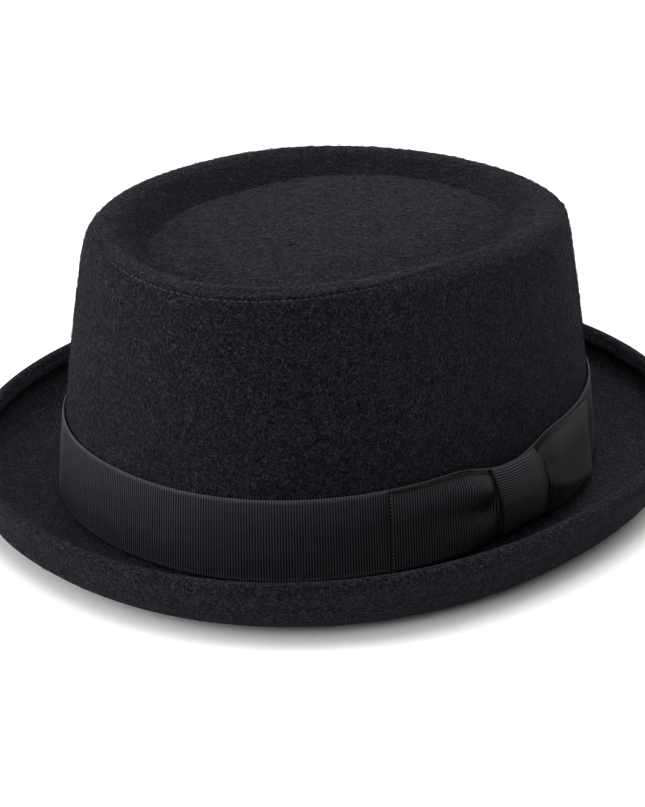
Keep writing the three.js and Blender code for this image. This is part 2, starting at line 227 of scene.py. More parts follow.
# Nothing of the felt or its fibres reaches below this height
FLOOR_GAP = 0.00002

# Six directions of the fibres in the felt, evenly spread: turns of the X axis about Y and Z.
# Then their size along and across, in metres.
FIBRE_TURNS = [
    (0, -1.02, 1.57),
    (0, -1.02, -1.57),
    (0, 0, 1.02),
    (0, 0, 2.12),
    (0, -0.55, 0),
    (0, 0.55, 0),
]
FIBRE_SIZE = (0.0034, 0.0006, 0.0006)

# The camera: degrees round from the front and up, metres away, metres that it aims to the right
# of the hat's middle and above it, and its lens in millimetres
CAMERA_AZIMUTH = 45
CAMERA_RISE = 23.5
CAMERA_AWAY = 0.9
CAMERA_AIM = (-0.00304, -0.0213)
CAMERA_LENS = 111.12

# Softboxes as the camera sees them: metres to the right, to the back and up, and watts
SOFTBOXES = [
    ("left_light", -1.5, 0.0, 0.5, 17.5),
    ("right_light", 1.5, 0.0, 0.5, 2.6),
    ("left_front_light", -1.1, -1.1, 0.6, 13.0),
    ("left_back_light", -1.1, 1.1, 0.7, 2.9),
    ("right_back_light", 1.1, 1.1, 0.7, 11.5),
    ("back_light", 0.0, 1.5, 0.6, 8.8),
    ("high_back_light", 0.0, 1.0, 1.2, 4.5),
    ("high_front_light", 0.0, -1.0, 1.2, 6.5),
    ("top_light", 0.0, 0.0, 1.6, 25.0),
]


def length(name, description, default):
    return FloatProperty(
        name=name, description=description, default=default, unit="LENGTH", precision=4)


def colour(name, description, default):
    return FloatVectorProperty(
        name=name, description=description, default=default, subtype="COLOR", min=0, max=1)


class CrownSettings(bpy.types.PropertyGroup):
    felt: length("Felt", "Thickness of the felt", 0.0025)
    head_length: length("Head length", "Length over the felt at the foot of the crown", 0.2054)
    head_width: length("Head width", "Width over the felt at the foot of the crown", 0.1714)
    foot_height: length("Foot height", "Height of the foot of the crown", 0.0062)
    rim_length: length("Rim length", "Length over the rim of the crown", 0.1862)
    rim_width: length("Rim width", "Width over the rim of the crown", 0.1458)
    crest_height: length("Crest height", "Height of the ridge at the sides", 0.1031)
    crest_pitch: length("Crest pitch", "How far the ridge falls from middle to back", 0.0037)
    crest_sag: length("Crest sag", "How far the ridge is lower at both ends", 0.0036)
    crest_inset: length("Crest inset", "How far the ridge's top lies inside the rim", 0.0077)
    crest_depth: length("Crest depth", "Height of the rounding from the wall to the ridge", 0.006)
    wall_swell: length("Wall swell", "How far the wall bulges half-way up", 0.0012)
    crease_inset: length("Crease inset", "How far the crease lies inside the rim", 0.0215)
    crease_drop_sides: length("Crease drop", "Depth of the crease below the ridge", 0.0085)
    crease_drop_back: length("Crease drop at the back", "Depth of the crease at the back", 0.005)
    tip_dome: length("Tip dome", "Height of the tip's middle over the crease", 0.0045)
    stitch: length("Stitch", "Distance from one stitch of the ridge to the next", 0.0024)


class BrimSettings(bpy.types.PropertyGroup):
    depth_ends: length("Depth at the ends", "How far the brim reaches in front and behind", 0.0314)
    depth_sides: length("Depth at the sides", "How far the brim reaches at the sides", 0.0339)
    edge_height: length("Edge height", "Height of the curled edge", 0.0226)
    edge_lift: length("Edge lift", "How much higher the edge is at the sides", 0.001)
    hem: length("Hem", "Thickness of the edge where the felt is turned", 0.004)


class RibbonSettings(bpy.types.PropertyGroup):
    width: length("Width", "Width of the ribbon", 0.0292)
    clearance: length("Clearance", "Gap between the ribbon and what it lies on", 0.0003)
    layer: length("Layer", "Room that one layer of ribbon takes", 0.001)
    thickness: length("Thickness", "Thickness of the ribbon", 0.0007)
    rib_pitch: length("Rib pitch", "Distance from one rib to the next", 0.00092)
    rib_depth: length("Rib depth", "Depth of the hollow between two ribs", 0.00026)
    dip: length("Dip", "How far the band's top edge is drawn down at the knot", 0.0045)
    dip_reach: length("Dip reach", "How far from the knot the top edge is drawn down", 0.024)


class BowSettings(bpy.types.PropertyGroup):
    knot_middle: length("Knot middle", "Place of the knot along the hat", 0.0026)
    front_wing: length("Front wing", "Length of the wing towards the front", 0.052)
    back_wing: length("Back wing", "Length of the wing towards the back", 0.0524)
    wing_thickness: length("Wing thickness", "Thickness of a wing laid flat", 0.0014)
    wing_puff: length("Wing puff", "How far a wing puffs up beside the knot", 0.0042)
    wing_rise: length("Wing rise", "How far a wing rises over the band's top edge", 0.0016)
    knot_width: length("Knot width", "Width of the knot along the hat", 0.023)
    knot_height: length("Knot height", "Height of the knot", 0.0252)
    knot_lean: length("Knot lean", "How far the knot's top leans back", -0.0015)
    knot_waist: length("Knot waist", "How much lower the knot is in its middle", 0.0005)
    knot_bulge: length("Knot bulge", "How much thicker the knot is in its middle", 0.0006)
    pinch_depth: length("Pinch depth", "Thickness of the pinched ribbon half-way up", 0.0036)
    pinch_edge: length("Pinch edge", "Thickness of the pinched ribbon at its edges", 0.0012)


class FinishSettings(bpy.types.PropertyGroup):
    felt_colour: colour("Felt colour", "Colour of the wool felt", (0.0027, 0.0024, 0.0032))
    fibre_colour: colour(
        "Fibre colour", "Colour of the fibres that lie on the felt", (0.0420, 0.0378, 0.0512))
    ribbon_colour: colour(
        "Ribbon colour", "Colour of the ribbed ribbon", (0.0455, 0.0423, 0.0521))
    floor_colour: colour("Floor colour", "Colour of the studio floor", (0.9, 0.9, 0.9))
    nap: IntProperty(
        name="Nap", description="Number of loose fibres in the largest patch of nap",
        default=16000, min=100, max=16500)


def power(value, exponent):
    return np.sign(value) * np.abs(value) ** exponent


def mix(low, high, share):
    return low + (high - low) * share


def eased(value):
    value = np.clip(value, 0, 1)
    return value * value * (3 - 2 * value)


def bump_at(value, middle, width):
    """1 at the middle, falling softly to 0 a few widths away"""
    return np.exp(-(((value - middle) / width) ** 2))


def unit(vectors):
    return vectors / np.maximum(np.linalg.norm(vectors, axis=-1, keepdims=True), 1e-12)


def run_along(points):
    """The length from the first point of a line, or of a row of lines, to each of its points"""
    steps = np.linalg.norm(np.diff(points, axis=0), axis=-1)
    return np.concatenate([np.zeros((1, *steps.shape[1:])), np.cumsum(steps, axis=0)])


def through(values, places, wanted):
    """Values at the wanted places on a smooth curve through the given ones"""
    values = np.asarray(values, float)
    places = np.asarray(places, float)
    steps = np.diff(places)
    shape = (-1,) + (1,) * (values.ndim - 1)
    slopes = np.diff(values, axis=0) / steps.reshape(shape)
    before = slopes[:-1]
    after = slopes[1:]
    weight = (steps[1:] / (steps[1:] + steps[:-1])).reshape(shape)
    inner = before * weight + after * (1 - weight)
    tangents = np.concatenate([slopes[:1], inner, slopes[-1:]])
    i = np.clip(np.searchsorted(places, wanted, side="right") - 1, 0, len(steps) - 1)
    t = ((wanted - places[i]) / steps[i]).reshape(shape)
    width = steps[i].reshape(shape)
    low = values[i] * (2 * t**3 - 3 * t**2 + 1) + tangents[i] * width * (t**3 - 2 * t**2 + t)
    high = values[i + 1] * (3 * t**2 - 2 * t**3) + tangents[i + 1] * width * (t**3 - t**2)
    return low + high


class Hat:
    """The hat's sizes and the surfaces that every piece is laid on"""

    def __init__(self, scene):
        self.crown = scene.hat_crown
        self.brim = scene.hat_brim
        self.ribbon = scene.hat_ribbon
        self.bow = scene.hat_bow
        self.finish = scene.hat_finish

    def oval(self, half_length, half_width, turn):
        """Points of an oval of the hat with their outward directions"""
        x = half_width * power(np.cos(turn), 2 / OVAL_EXPONENT)
        y = half_length * power(np.sin(turn), 2 / OVAL_EXPONENT)
        steep_x = power(x / half_width, OVAL_EXPONENT - 1) / half_width
        steep_y = power(y / half_length, OVAL_EXPONENT - 1) / half_length
        steep = np.hypot(steep_x, steep_y)
        return x, y, steep_x / steep, steep_y / steep

    def crest(self, turn):
        """Height of the ridge, which falls towards the back of the hat"""
        back = power(np.sin(turn), 2 / OVAL_EXPONENT)
        crown = self.crown
        return crown.crest_height - crown.crest_pitch * back - crown.crest_sag * back * back

    def wall_size(self, share):
        crown = self.crown
        swell = crown.wall_swell * 4 * share * (1 - share)
        half_length = mix(crown.head_length, crown.rim_length, share) / 2 + swell
        half_width = mix(crown.head_width, crown.rim_width, share) / 2 + swell
        return half_length, half_width

    def beside_wall(self, turn, height, distance):
        """Points at a height and a distance out from the felt of the wall"""
        foot = self.crown.foot_height
        top = self.crest(turn) - self.crown.crest_depth
        half_length, half_width = self.wall_size((height - foot) / (top - foot))
        x, y, out_x, out_y = self.oval(half_length, half_width, turn)
        return np.stack([x + out_x * distance, y + out_y * distance, height + 0 * x], -1)

    def turn_along(self, along):
        """The turn of a place along the bow's side of the hat"""
        return np.arcsin(power(2 * along / self.crown.head_length, OVAL_EXPONENT / 2))

    def even_turns(self, count, height):
        """Turns that are evenly spaced along the wall at a height"""
        fine = np.linspace(0, TURN, 7201)
        points = self.beside_wall(fine, np.full_like(fine, height), 0)
        run = run_along(points)
        return np.interp(np.arange(count) / count * run[-1], run, fine), run[-1]

    def band_top(self, turn):
        """Height of the band's top edge, which dips where the knot holds it"""
        ribbon = self.ribbon
        along = np.sin(turn) * self.crown.head_length / 2 - self.bow.knot_middle
        near = np.where(np.cos(turn) > 0, 1 - np.abs(along) / ribbon.dip_reach, 0)
        return self.crown.foot_height + ribbon.width - ribbon.dip * eased(near)

    def band_middle(self):
        """Height of the middle of the band"""
        return self.crown.foot_height + self.ribbon.width / 2

    def over_band(self):
        """Distance from the felt of the wall to the back of the bow"""
        return self.ribbon.clearance + self.ribbon.layer + self.ribbon.clearance

    def pinch(self, upward):
        """Thickness of the pinched ribbon, from -1 at its foot to 1 at its top"""
        return mix(self.bow.pinch_depth, self.bow.pinch_edge, np.abs(upward) ** 1.5)


def deselect_all():
    if bpy.context.object and bpy.context.object.mode != "OBJECT":
        bpy.ops.object.mode_set(mode="OBJECT")
    bpy.ops.object.select_all(action="DESELECT")


def new_tube(name, around, rows, poles):
    """A straight tube: a circle, extruded once for each ring. It is closed by a pole at each end,
    or else its last ring is bridged to its first. Returns its object and each vertex's ring and
    place in the ring, which is -1 at a pole."""
    radius = 0.1
    step = 0.001
    deselect_all()
    fill = "TRIFAN" if poles else "NOTHING"
    bpy.ops.mesh.primitive_circle_add(vertices=around, radius=radius, fill_type=fill)
    piece = bpy.context.object
    piece.name = name
    piece.data.name = name
    bpy.ops.object.mode_set(mode="EDIT")
    bpy.ops.mesh.select_mode(type="EDGE")
    bpy.ops.mesh.select_all(action="DESELECT")
    select_ring(piece, 0)
    for _ in range(rows - 1):
        bpy.ops.mesh.extrude_edges_move(TRANSFORM_OT_translate={"value": (0, 0, step)})
    if poles:
        bpy.ops.mesh.edge_face_add()
        bpy.ops.mesh.select_mode(type="FACE")
        bpy.ops.mesh.poke()
    else:
        select_ring(piece, 0)
        bpy.ops.mesh.bridge_edge_loops()
    bpy.ops.mesh.select_all(action="SELECT")
    bpy.ops.mesh.normals_make_consistent(inside=False)
    bpy.ops.object.mode_set(mode="OBJECT")
    flat = np.zeros(len(piece.data.vertices) * 3)
    piece.data.vertices.foreach_get("co", flat)
    at = flat.reshape(-1, 3)
    ring = np.rint(at[:, 2] / step).astype(int)
    angle = np.arctan2(at[:, 0], at[:, 1])
    place = np.rint(angle / TURN * around).astype(int) % around
    place[np.hypot(at[:, 0], at[:, 1]) < radius / 2] = -1
    if ring.max() != rows - 1:
        raise RuntimeError(f"{name} has {ring.max() + 1} rings and not {rows}")
    return piece, ring, place


def select_ring(piece, height):
    """Adds to the selection the outline's edges that lie at a height"""
    mesh = bmesh.from_edit_mesh(piece.data)
    for edge in mesh.edges:
        level = all(abs(vertex.co.z - height) < 1e-6 for vertex in edge.verts)
        outline = all(vertex.co.xy.length > 0.05 for vertex in edge.verts)
        if level and outline:
            edge.select_set(True)
    bmesh.update_edit_mesh(piece.data)


def shape_tube(name, points, repeat, attributes, ends=None):
    """A tube through points[ring, place], which runs between two ends or else closes on itself,
    with its UV map and with attributes of each ring and place"""
    rows, around = points.shape[:2]
    piece, ring, place = new_tube(name, around, rows, ends is not None)
    column = np.maximum(place, 0)
    at = points[ring, column]
    if ends is not None:
        at[(place < 0) & (ring == 0)] = ends[0]
        at[(place < 0) & (ring > 0)] = ends[1]
    piece.data.vertices.foreach_set("co", at.ravel())
    piece.data.update()
    lay_map(piece, ring, place, np.linspace(0, 1, rows), around, repeat)
    for key, values in attributes.items():
        layer = piece.data.attributes.new(key, "FLOAT", "POINT")
        layer.data.foreach_set("value", values[ring, column].astype(np.float32))
    return piece


def lay_map(piece, ring, place, across, around, repeat):
    """A UV map: across[ring] runs up, and repeat times the place in the ring runs along"""
    mesh = piece.data
    corner = np.zeros(len(mesh.loops), int)
    mesh.loops.foreach_get("vertex_index", corner)
    total = np.zeros(len(mesh.polygons), int)
    mesh.polygons.foreach_get("loop_total", total)
    face = np.repeat(np.arange(len(total)), total)
    u = place[corner] / around
    low = np.full(len(total), 9.0)
    np.minimum.at(low, face, np.where(place[corner] < 0, 9.0, u))
    high = np.full(len(total), -9.0)
    np.maximum.at(high, face, u)
    wraps = (high - low) > 0.5
    u = np.where(wraps[face] & (u < 0.5) & (place[corner] >= 0), u + 1, u)
    u = np.where(place[corner] < 0, low[face], u)
    v = across[ring[corner]]
    layer = mesh.uv_layers.new(name="UVMap")
    layer.data.foreach_set("uv", np.stack([u * repeat, v], -1).ravel())


def finish_piece(piece, material, replaced=None):
    """Normals outwards, smooth shading, its material, and its place in the frame"""
    deselect_all()
    piece.select_set(True)
    bpy.context.view_layer.objects.active = piece
    bpy.ops.object.mode_set(mode="EDIT")
    bpy.ops.mesh.select_all(action="SELECT")
    bpy.ops.mesh.normals_make_consistent(inside=False)
    bpy.ops.object.mode_set(mode="OBJECT")
    bpy.ops.object.shade_smooth()
    piece.data.materials.clear()
    piece.data.materials.append(material)
    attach(piece, "root")
    if replaced:
        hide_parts(replaced)


class Sum:
    """A socket on which Python's operators add Math nodes"""

    def __init__(self, finish, socket):
        self.finish = finish
        self.socket = socket

    def math(self, operation, first, second):
        return self.finish.node("ShaderNodeMath", {"operation": operation}, first, second)

    def __add__(self, other):
        return self.math("ADD", self, other)

    def __radd__(self, other):
        return self.math("ADD", other, self)

    def __sub__(self, other):
        return self.math("SUBTRACT", self, other)

    def __rsub__(self, other):
        return self.math("SUBTRACT", other, self)

    def __mul__(self, other):
        return self.math("MULTIPLY", self, other)

    def __rmul__(self, other):
        return self.math("MULTIPLY", other, self)

    def __pow__(self, other):
        return self.math("POWER", self, other)


class Finish:
    """A material that is built up node by node"""

    def __init__(self, name, **values):
        self.material = bpy.data.materials.new(name)
        self.material.use_nodes = True
        self.tree = self.material.node_tree
        self.shader = self.tree.nodes["Principled BSDF"]
        for key, value in values.items():
            self.shader.inputs[key.replace("_", " ")].default_value = value

    def node(self, kind, settings, *values, output=0, at=None, **named):
        """Adds a node, sets it, and fills its sockets with values or links: the first ones in
        turn, others by their number in at or by their name"""
        node = self.tree.nodes.new(kind)
        for key, value in settings.items():
            if key == "stops":
                self.set_stops(node.color_ramp, value)
            else:
                setattr(node, key, value)
        for key, value in [*enumerate(values), *(at or {}).items(), *named.items()]:
            self.fill(node.inputs[key], value)
        return Sum(self, node.outputs[output])

    def set_stops(self, ramp, stops):
        while len(ramp.elements) < len(stops):
            ramp.elements.new(0.5)
        for element, (position, level) in zip(ramp.elements, stops):
            element.position = position
            element.color = (level, level, level, 1)

    def fill(self, socket, value):
        if isinstance(value, Sum):
            self.tree.links.new(value.socket, socket)
        elif value is not None:
            socket.default_value = value

    def feed(self, name, value):
        self.fill(self.shader.inputs[name], value)

    def blend(self, share, first, second, how="MIX"):
        """A mix of two colours"""
        settings = {"data_type": "RGBA", "blend_type": how}
        return self.node("ShaderNodeMix", settings, output=2, at={0: share, 6: first, 7: second})

    def grey(self, level):
        return self.node("ShaderNodeCombineColor", {}, level, level, level)

    def tint(self, colour, level):
        """A colour times a level"""
        return self.blend(1.0, colour, self.grey(level), "MULTIPLY")

    def place(self):
        return self.node("ShaderNodeTexCoord", {}, output="Object")

    def own(self, name):
        return self.node("ShaderNodeAttribute", {"attribute_name": name}, output="Fac")

    def mapped(self, vector, turn, size):
        """Places measured along three turned axes, in units of a size along each"""
        settings = {"vector_type": "TEXTURE"}
        return self.node("ShaderNodeMapping", settings, Vector=vector, Rotation=turn, Scale=size)

    def curled(self, vector, scale, amount):
        """Places pushed about by a noise"""
        push = self.node(
            "ShaderNodeTexNoise", {}, output="Color", Vector=vector, Scale=scale, Detail=1.0)
        reach = (amount, amount, amount)
        return self.node("ShaderNodeVectorMath", {"operation": "MULTIPLY_ADD"}, push, reach, vector)

    def noise(self, vector, scale, detail=2.0, rough=0.5):
        return self.node(
            "ShaderNodeTexNoise", {}, Vector=vector, Scale=scale, Detail=detail, Roughness=rough)

    def ramp(self, value, low, high):
        settings = {"interpolation_type": "SMOOTHSTEP"}
        return self.node(
            "ShaderNodeMapRange", settings, Value=value, **{"From Min": low, "From Max": high})

    def bump(self, height, strength, distance):
        return self.node("ShaderNodeBump", {}, Height=height, Strength=strength, Distance=distance)


def felt_material(hat):
    """Wool felt: short fibres lying in all directions over a matt, faintly mottled ground, with
    painted shade in the crease and seam grooves and a painted highlight along the crest
    """
    felt = Finish(
        "wool_felt", Roughness=0.95, Sheen_Weight=0.05, Sheen_Roughness=0.45,
        Sheen_Tint=(0.78, 0.72, 0.92, 1), Specular_IOR_Level=0.04)
    place = felt.place()
    curled = felt.curled(place, 420.0, 0.0024)
    fibres = 0.0
    gaps = 0.0
    for turn in FIBRE_TURNS:
        strands = felt.noise(felt.mapped(curled, turn, FIBRE_SIZE), 1.0, 1.0)
        fibres = felt.ramp(strands, 0.575, 0.655) + fibres
        gaps = felt.ramp(strands, 0.42, 0.34) + gaps
    mottle = felt.noise(place, 130.0, 3.0, 0.55)
    ground = (*hat.finish.felt_colour, 1)
    fibre = (*hat.finish.fibre_colour, 1)
    # Random mottle and darker gaps between fibres, times the painted shade in the crease and seam
    # grooves and the painted highlight on the crest
    shade = (0.72 + mottle * 0.56) * (1 - felt.own("groove") * 0.7) * (1 - gaps * 0.42)
    felt.feed("Base Color", felt.tint(felt.blend(fibres * 0.33, ground, fibre), shade))
    felt.feed("Normal", felt.bump(fibres - gaps * 0.7 + mottle, 0.8, 0.0006))
    return felt.material


def nap_material(hat):
    """Loose fibres of the felt, which catch the light"""
    nap = Finish(
        "loose_fibres", Roughness=0.75, Specular_IOR_Level=0.06)
    ground = (*hat.finish.felt_colour, 1)
    fibre = (*hat.finish.fibre_colour, 1)
    nap.feed("Base Color", nap.tint(nap.blend(nap.own("tone"), ground, fibre), 1.5))
    return nap.material


def ribbon_material(hat, name="ribbed_ribbon"):
    """Ribbed ribbon: its own colour on the ribs and painted shade in the hollows, a painted
    highlight on the selvedge loops, and its fine warp across them
    """
    ribbon = Finish(
        name, Roughness=0.5, Sheen_Weight=0.03, Sheen_Roughness=0.4, Specular_IOR_Level=0.1)
    place = ribbon.place()
    rib = ribbon.own("rib")
    colour = (*hat.finish.ribbon_colour, 1)
    # Painted shade: the hollows between the ribs get a nearly black colour, and the rib attribute
    # also brings the painted shade at edges, folds and backs
    painted_hollow_shade = tuple(part * 0.03 for part in hat.finish.ribbon_colour) + (1,)
    selvedge = tuple(part * 1.5 for part in hat.finish.ribbon_colour) + (1,)
    tone = ribbon.blend(rib**4, painted_hollow_shade, colour)
    # Painted highlight on the selvedge loops at the ribbon's edges
    tone = ribbon.blend(ribbon.own("selvedge") * rib * 0.6, tone, selvedge)
    streaks = 0.8 + ribbon.noise(place, 260.0, 2.0) * 0.4
    ribbon.feed("Base Color", ribbon.tint(tone, streaks))
    warp = ribbon.noise(place, 3500.0, 1.0)
    ribbon.feed("Roughness", 0.42 + warp * 0.2)
    ribbon.feed("Normal", ribbon.bump(warp, 0.25, 0.0002))
    return ribbon.material


def thread_material():
    thread = Finish("thread", Roughness=0.6, Sheen_Weight=0.3, Specular_IOR_Level=0.4)
    twist = thread.noise(thread.place(), 2600.0, 1.0)
    dark = (0.006, 0.006, 0.007, 1)
    light = (0.036, 0.0352, 0.0385, 1)
    thread.feed("Base Color", thread.blend(thread.ramp(twist, 0.45, 0.75), dark, light))
    return thread.material


def felt_sections(hat, turns):
    """The felt's middle surface from beside the tip's middle to the brim's edge, as ovals: half
    length, half width, height and thickness of each row at each turn"""
    crown = hat.crown
    brim = hat.brim
    half = crown.felt / 2
    crest = hat.crest(turns) - half
    back = np.maximum(0, np.sin(turns))
    drop = mix(crown.crease_drop_sides, crown.crease_drop_back, back)
    crease_length = crown.rim_length / 2 - crown.crease_inset
    crease_width = crown.rim_width / 2 - crown.crease_inset
    crease = crest - drop
    tip = crown.crest_height - half - crown.crease_drop_sides + crown.tip_dome
    rows = []
    counts = []

    def add(half_length, half_width, height, count, thickness=crown.felt):
        row = [half_length, half_width, height, thickness]
        rows.append(np.stack([np.broadcast_to(value, turns.shape) for value in row], -1))
        counts.append(count)

    for out, dome, count in TIP_ROWS:
        add(crease_length * out, crease_width * out, mix(crease, tip, dome), count)
    for out, climb, count in RIDGE_ROWS:
        inset = mix(crown.crease_inset, crown.crest_inset, out)
        height = crease + drop * climb
        add(crown.rim_length / 2 - inset, crown.rim_width / 2 - inset, height, count)
    wall_top = hat.crest(turns) - crown.crest_depth
    for out, fall, count in CREST_ROWS:
        inset = mix(crown.crest_inset, half, out)
        height = mix(crest, wall_top, fall)
        add(crown.rim_length / 2 - inset, crown.rim_width / 2 - inset, height, count)
    for share, count in WALL_ROWS:
        half_length, half_width = hat.wall_size(share)
        height = mix(crown.foot_height, wall_top, share)
        add(half_length - half, half_width - half, height, count)
    sides = np.cos(turns) ** 2
    edge = brim.edge_height + brim.edge_lift * np.cos(2 * turns) - brim.hem / 2
    depth_ends = brim.depth_ends + half - brim.hem / 2
    depth_sides = brim.depth_sides + half - brim.hem / 2
    for ends_out, ends_rise, sides_out, sides_rise, foot, hem, count in BRIM_ROWS:
        across = mix(ends_out, sides_out, sides)
        rise = mix(ends_rise, sides_rise, sides)
        height = half + (edge - half) * rise + (crown.foot_height - half) * foot
        half_length = crown.head_length / 2 - half + depth_ends * across
        half_width = crown.head_width / 2 - half + depth_sides * across
        add(half_length, half_width, height, count, brim.hem if hem else crown.felt)
    return np.stack(rows), counts, tip


def from_seam_azimuth(turns):
    return np.arctan2(np.cos(turns), -np.sin(turns)) - SEAM_AZIMUTH


def stitch_place(turns):
    """How far outside the crest the ridge is stitched: over the wall in front, inside behind"""
    azimuth = from_seam_azimuth(turns)
    return 0.0002 + 0.0043 * np.cos(azimuth) + 0.0012 * np.cos(2 * azimuth)


def pressed(distance, line):
    """Depth of a line of the felt at distances from where it is measured"""
    place, width, depth = line
    return bump_at(distance, place, width) * depth


def felt_surface(hat, around):
    """The felt's rows of points over and under, with the painted shade and highlight of each"""
    turns = np.arange(around) / around * TURN
    sections, counts, tip = felt_sections(hat, turns)
    half = hat.crown.felt / 2
    radius = np.hypot(sections[:, :, 0], sections[:, :, 1]).mean(1) / math.sqrt(2)
    height = sections[:, :, 2].mean(1)
    run = run_along(np.stack([radius, height], -1))
    wanted = [
        run[i] + (run[i + 1] - run[i]) * k / count
        for i, count in enumerate(counts[:-1]) for k in range(count)]
    wanted = np.array([*wanted, run[-1]])
    crest_run = run[len(TIP_ROWS) + len(RIDGE_ROWS)]
    fine = through(sections, run, wanted)
    x, y, out_x, out_y = hat.oval(fine[:, :, 0], fine[:, :, 1], turns)
    z = fine[:, :, 2]
    outward = x * out_x[-1] + y * out_y[-1]
    rise = np.gradient(z, axis=0)
    along = np.gradient(outward, axis=0)
    size = np.hypot(rise, along)
    tilt_out = -rise / size
    tilt_up = along / size
    section_run = run_along(np.stack([z, outward], -1))
    crest_row = int(np.argmin(np.abs(wanted - crest_run)))
    from_crest = section_run - section_run[crest_row]
    to_edge = section_run[-1] - section_run
    to_seam = stitch_place(turns) - from_crest
    stitched = bump_at(to_seam, 0, SEAM_WIDTH)
    facing = (0.5 + 0.5 * np.cos(from_seam_azimuth(turns))) ** 2
    seams = stitched * mix(*SEAM_DEPTH, facing)
    seams = seams + (pressed(to_seam, FINE_CREASE) + pressed(to_seam, SEAM_LIP)) * facing
    seams = seams + pressed(to_edge, HEM_SEAM) + pressed(to_edge, HEM_ROLL)
    wave = uneven(turns, section_run)
    calm = eased((z - hat.crown.foot_height - hat.ribbon.width - 0.002) / 0.01)
    on_crown = wanted < run[len(run) - len(BRIM_ROWS)]
    wave = wave * np.where(on_crown[:, None], calm, eased((0.03 - to_edge) / 0.03))
    upper = fine[:, :, 3] / 2 - seams + wave
    lower = fine[:, :, 3] / 2 - pressed(to_edge, HEM_VALLEY) - wave
    middle = np.stack([x, y, z], -1)
    normal = np.stack([out_x * tilt_out, out_y * tilt_out, tilt_up], -1)
    over = middle + normal * upper[..., None]
    under = middle - normal * lower[..., None]
    under[..., 2] = np.maximum(under[..., 2], FLOOR_GAP)
    # Painted shade and highlight of the felt; hem marks the hem's seam groove, where painted shade
    # goes
    hem = bump_at(to_edge, HEM_SEAM[0], 0.0004)
    groove = painted_felt_shade(from_crest, stitched, hem, facing)
    return {
        "over": over, "under": under, "groove": groove, "facing": facing,
        "ends": [(0, 0, tip + half), (0, 0, tip - half)], "seam": stitch_place(turns),
        "from_crest": from_crest, "out": np.stack([out_x[-1], out_y[-1]], -1),
    }


def painted_felt_shade(from_crest, stitched, hem, facing):
    """Painted shade and highlight of the felt: 1 for painted shade deep in the crease and in its
    seam and hem grooves, and under 0 where a painted highlight lies along the crest"""
    # Painted shade in the ridge's seam groove, strongest in front, and in the hem's seam groove
    seams = stitched * (0.2 + 0.8 * facing) + hem * 0.5
    # Painted shade down the slope of the crease
    crease_shade = eased((-0.0015 - from_crest) / 0.004) * eased((from_crest + 0.019) / 0.004)
    # Painted highlight along the crest, strongest in front
    crest_highlight = bump_at(from_crest, 0.0005, 0.0028) * (0.3 + 0.7 * facing)
    return np.clip(seams + 0.75 * crease_shade, 0, 1) - 0.6 * crest_highlight * (1 - stitched)


def uneven(turns, run):
    """Height of the felt's waves"""
    wave = 0
    for amount, round_hat, down, shift in WAVES:
        wave = wave + amount * np.sin(round_hat * turns + shift) * np.cos(down * run + shift * 2)
    return wave


def edge_round(surface, steps):
    """Half a turn round the brim's edge from its inner face to its outer face"""
    inner = surface["over"][-1]
    outer = surface["under"][-1]
    middle = (inner + outer) / 2
    arm = (inner - outer) / 2
    out = surface["out"]
    arm_out = arm[:, 0] * out[:, 0] + arm[:, 1] * out[:, 1]
    tip = np.stack([-out[:, 0] * arm[:, 2], -out[:, 1] * arm[:, 2], np.abs(arm_out)], -1)
    tip *= (np.linalg.norm(arm, axis=1) / np.linalg.norm(tip, axis=1))[:, None]
    rings = []
    for i in range(1, steps + 1):
        angle = i / (steps + 1) * math.pi
        rings.append(middle + arm * math.cos(angle) + tip * math.sin(angle))
    return rings


class HatFeltShell(bpy.types.Operator):
    """Makes the crown and brim from one piece of felt"""

    bl_idname = "hat.felt_shell"
    bl_label = "Felt shell"

    def execute(self, context):
        hat = Hat(context.scene)
        surface = felt_surface(hat, SHELL_PLACES)
        under = surface["under"][::-1]
        keep = [i for i in range(len(under)) if i % 2 == 0 or i < 12 or i == len(under) - 1]
        rounds = edge_round(surface, 7)
        points = np.concatenate([surface["over"], np.stack(rounds), under[keep]])
        # The painted shade and highlight lie on the upper face only; the edge's round and the
        # underside get none
        plain = np.zeros((len(rounds) + len(keep), SHELL_PLACES))
        attributes = {"groove": np.concatenate([surface["groove"], plain])}
        piece = shape_tube("felt_shell", points, 1, attributes, surface["ends"])
        finish_piece(piece, felt_material(hat), "felt_body")
        return {"FINISHED"}


class HatNap(bpy.types.Operator):
    """Strews the felt with loose wool fibres"""

    bl_idname = "hat.nap"
    bl_label = "Nap"

    def execute(self, context):
        hat = Hat(context.scene)
        surface = felt_surface(hat, NAP_PLACES)
        material = nap_material(hat)
        row_run = surface["from_crest"].mean(1)
        for number, (name, side, start, end, standing, amount) in enumerate(NAP_PATCHES):
            chance = np.random.default_rng(40 + number)
            rows = np.flatnonzero((row_run > start) & (row_run < end))[:-1]
            count = int(hat.finish.nap * amount)
            piece = strew_fibres(
                name, surface[side], rows, count, standing, side == "under", chance)
            finish_piece(piece, material)
        return {"FINISHED"}


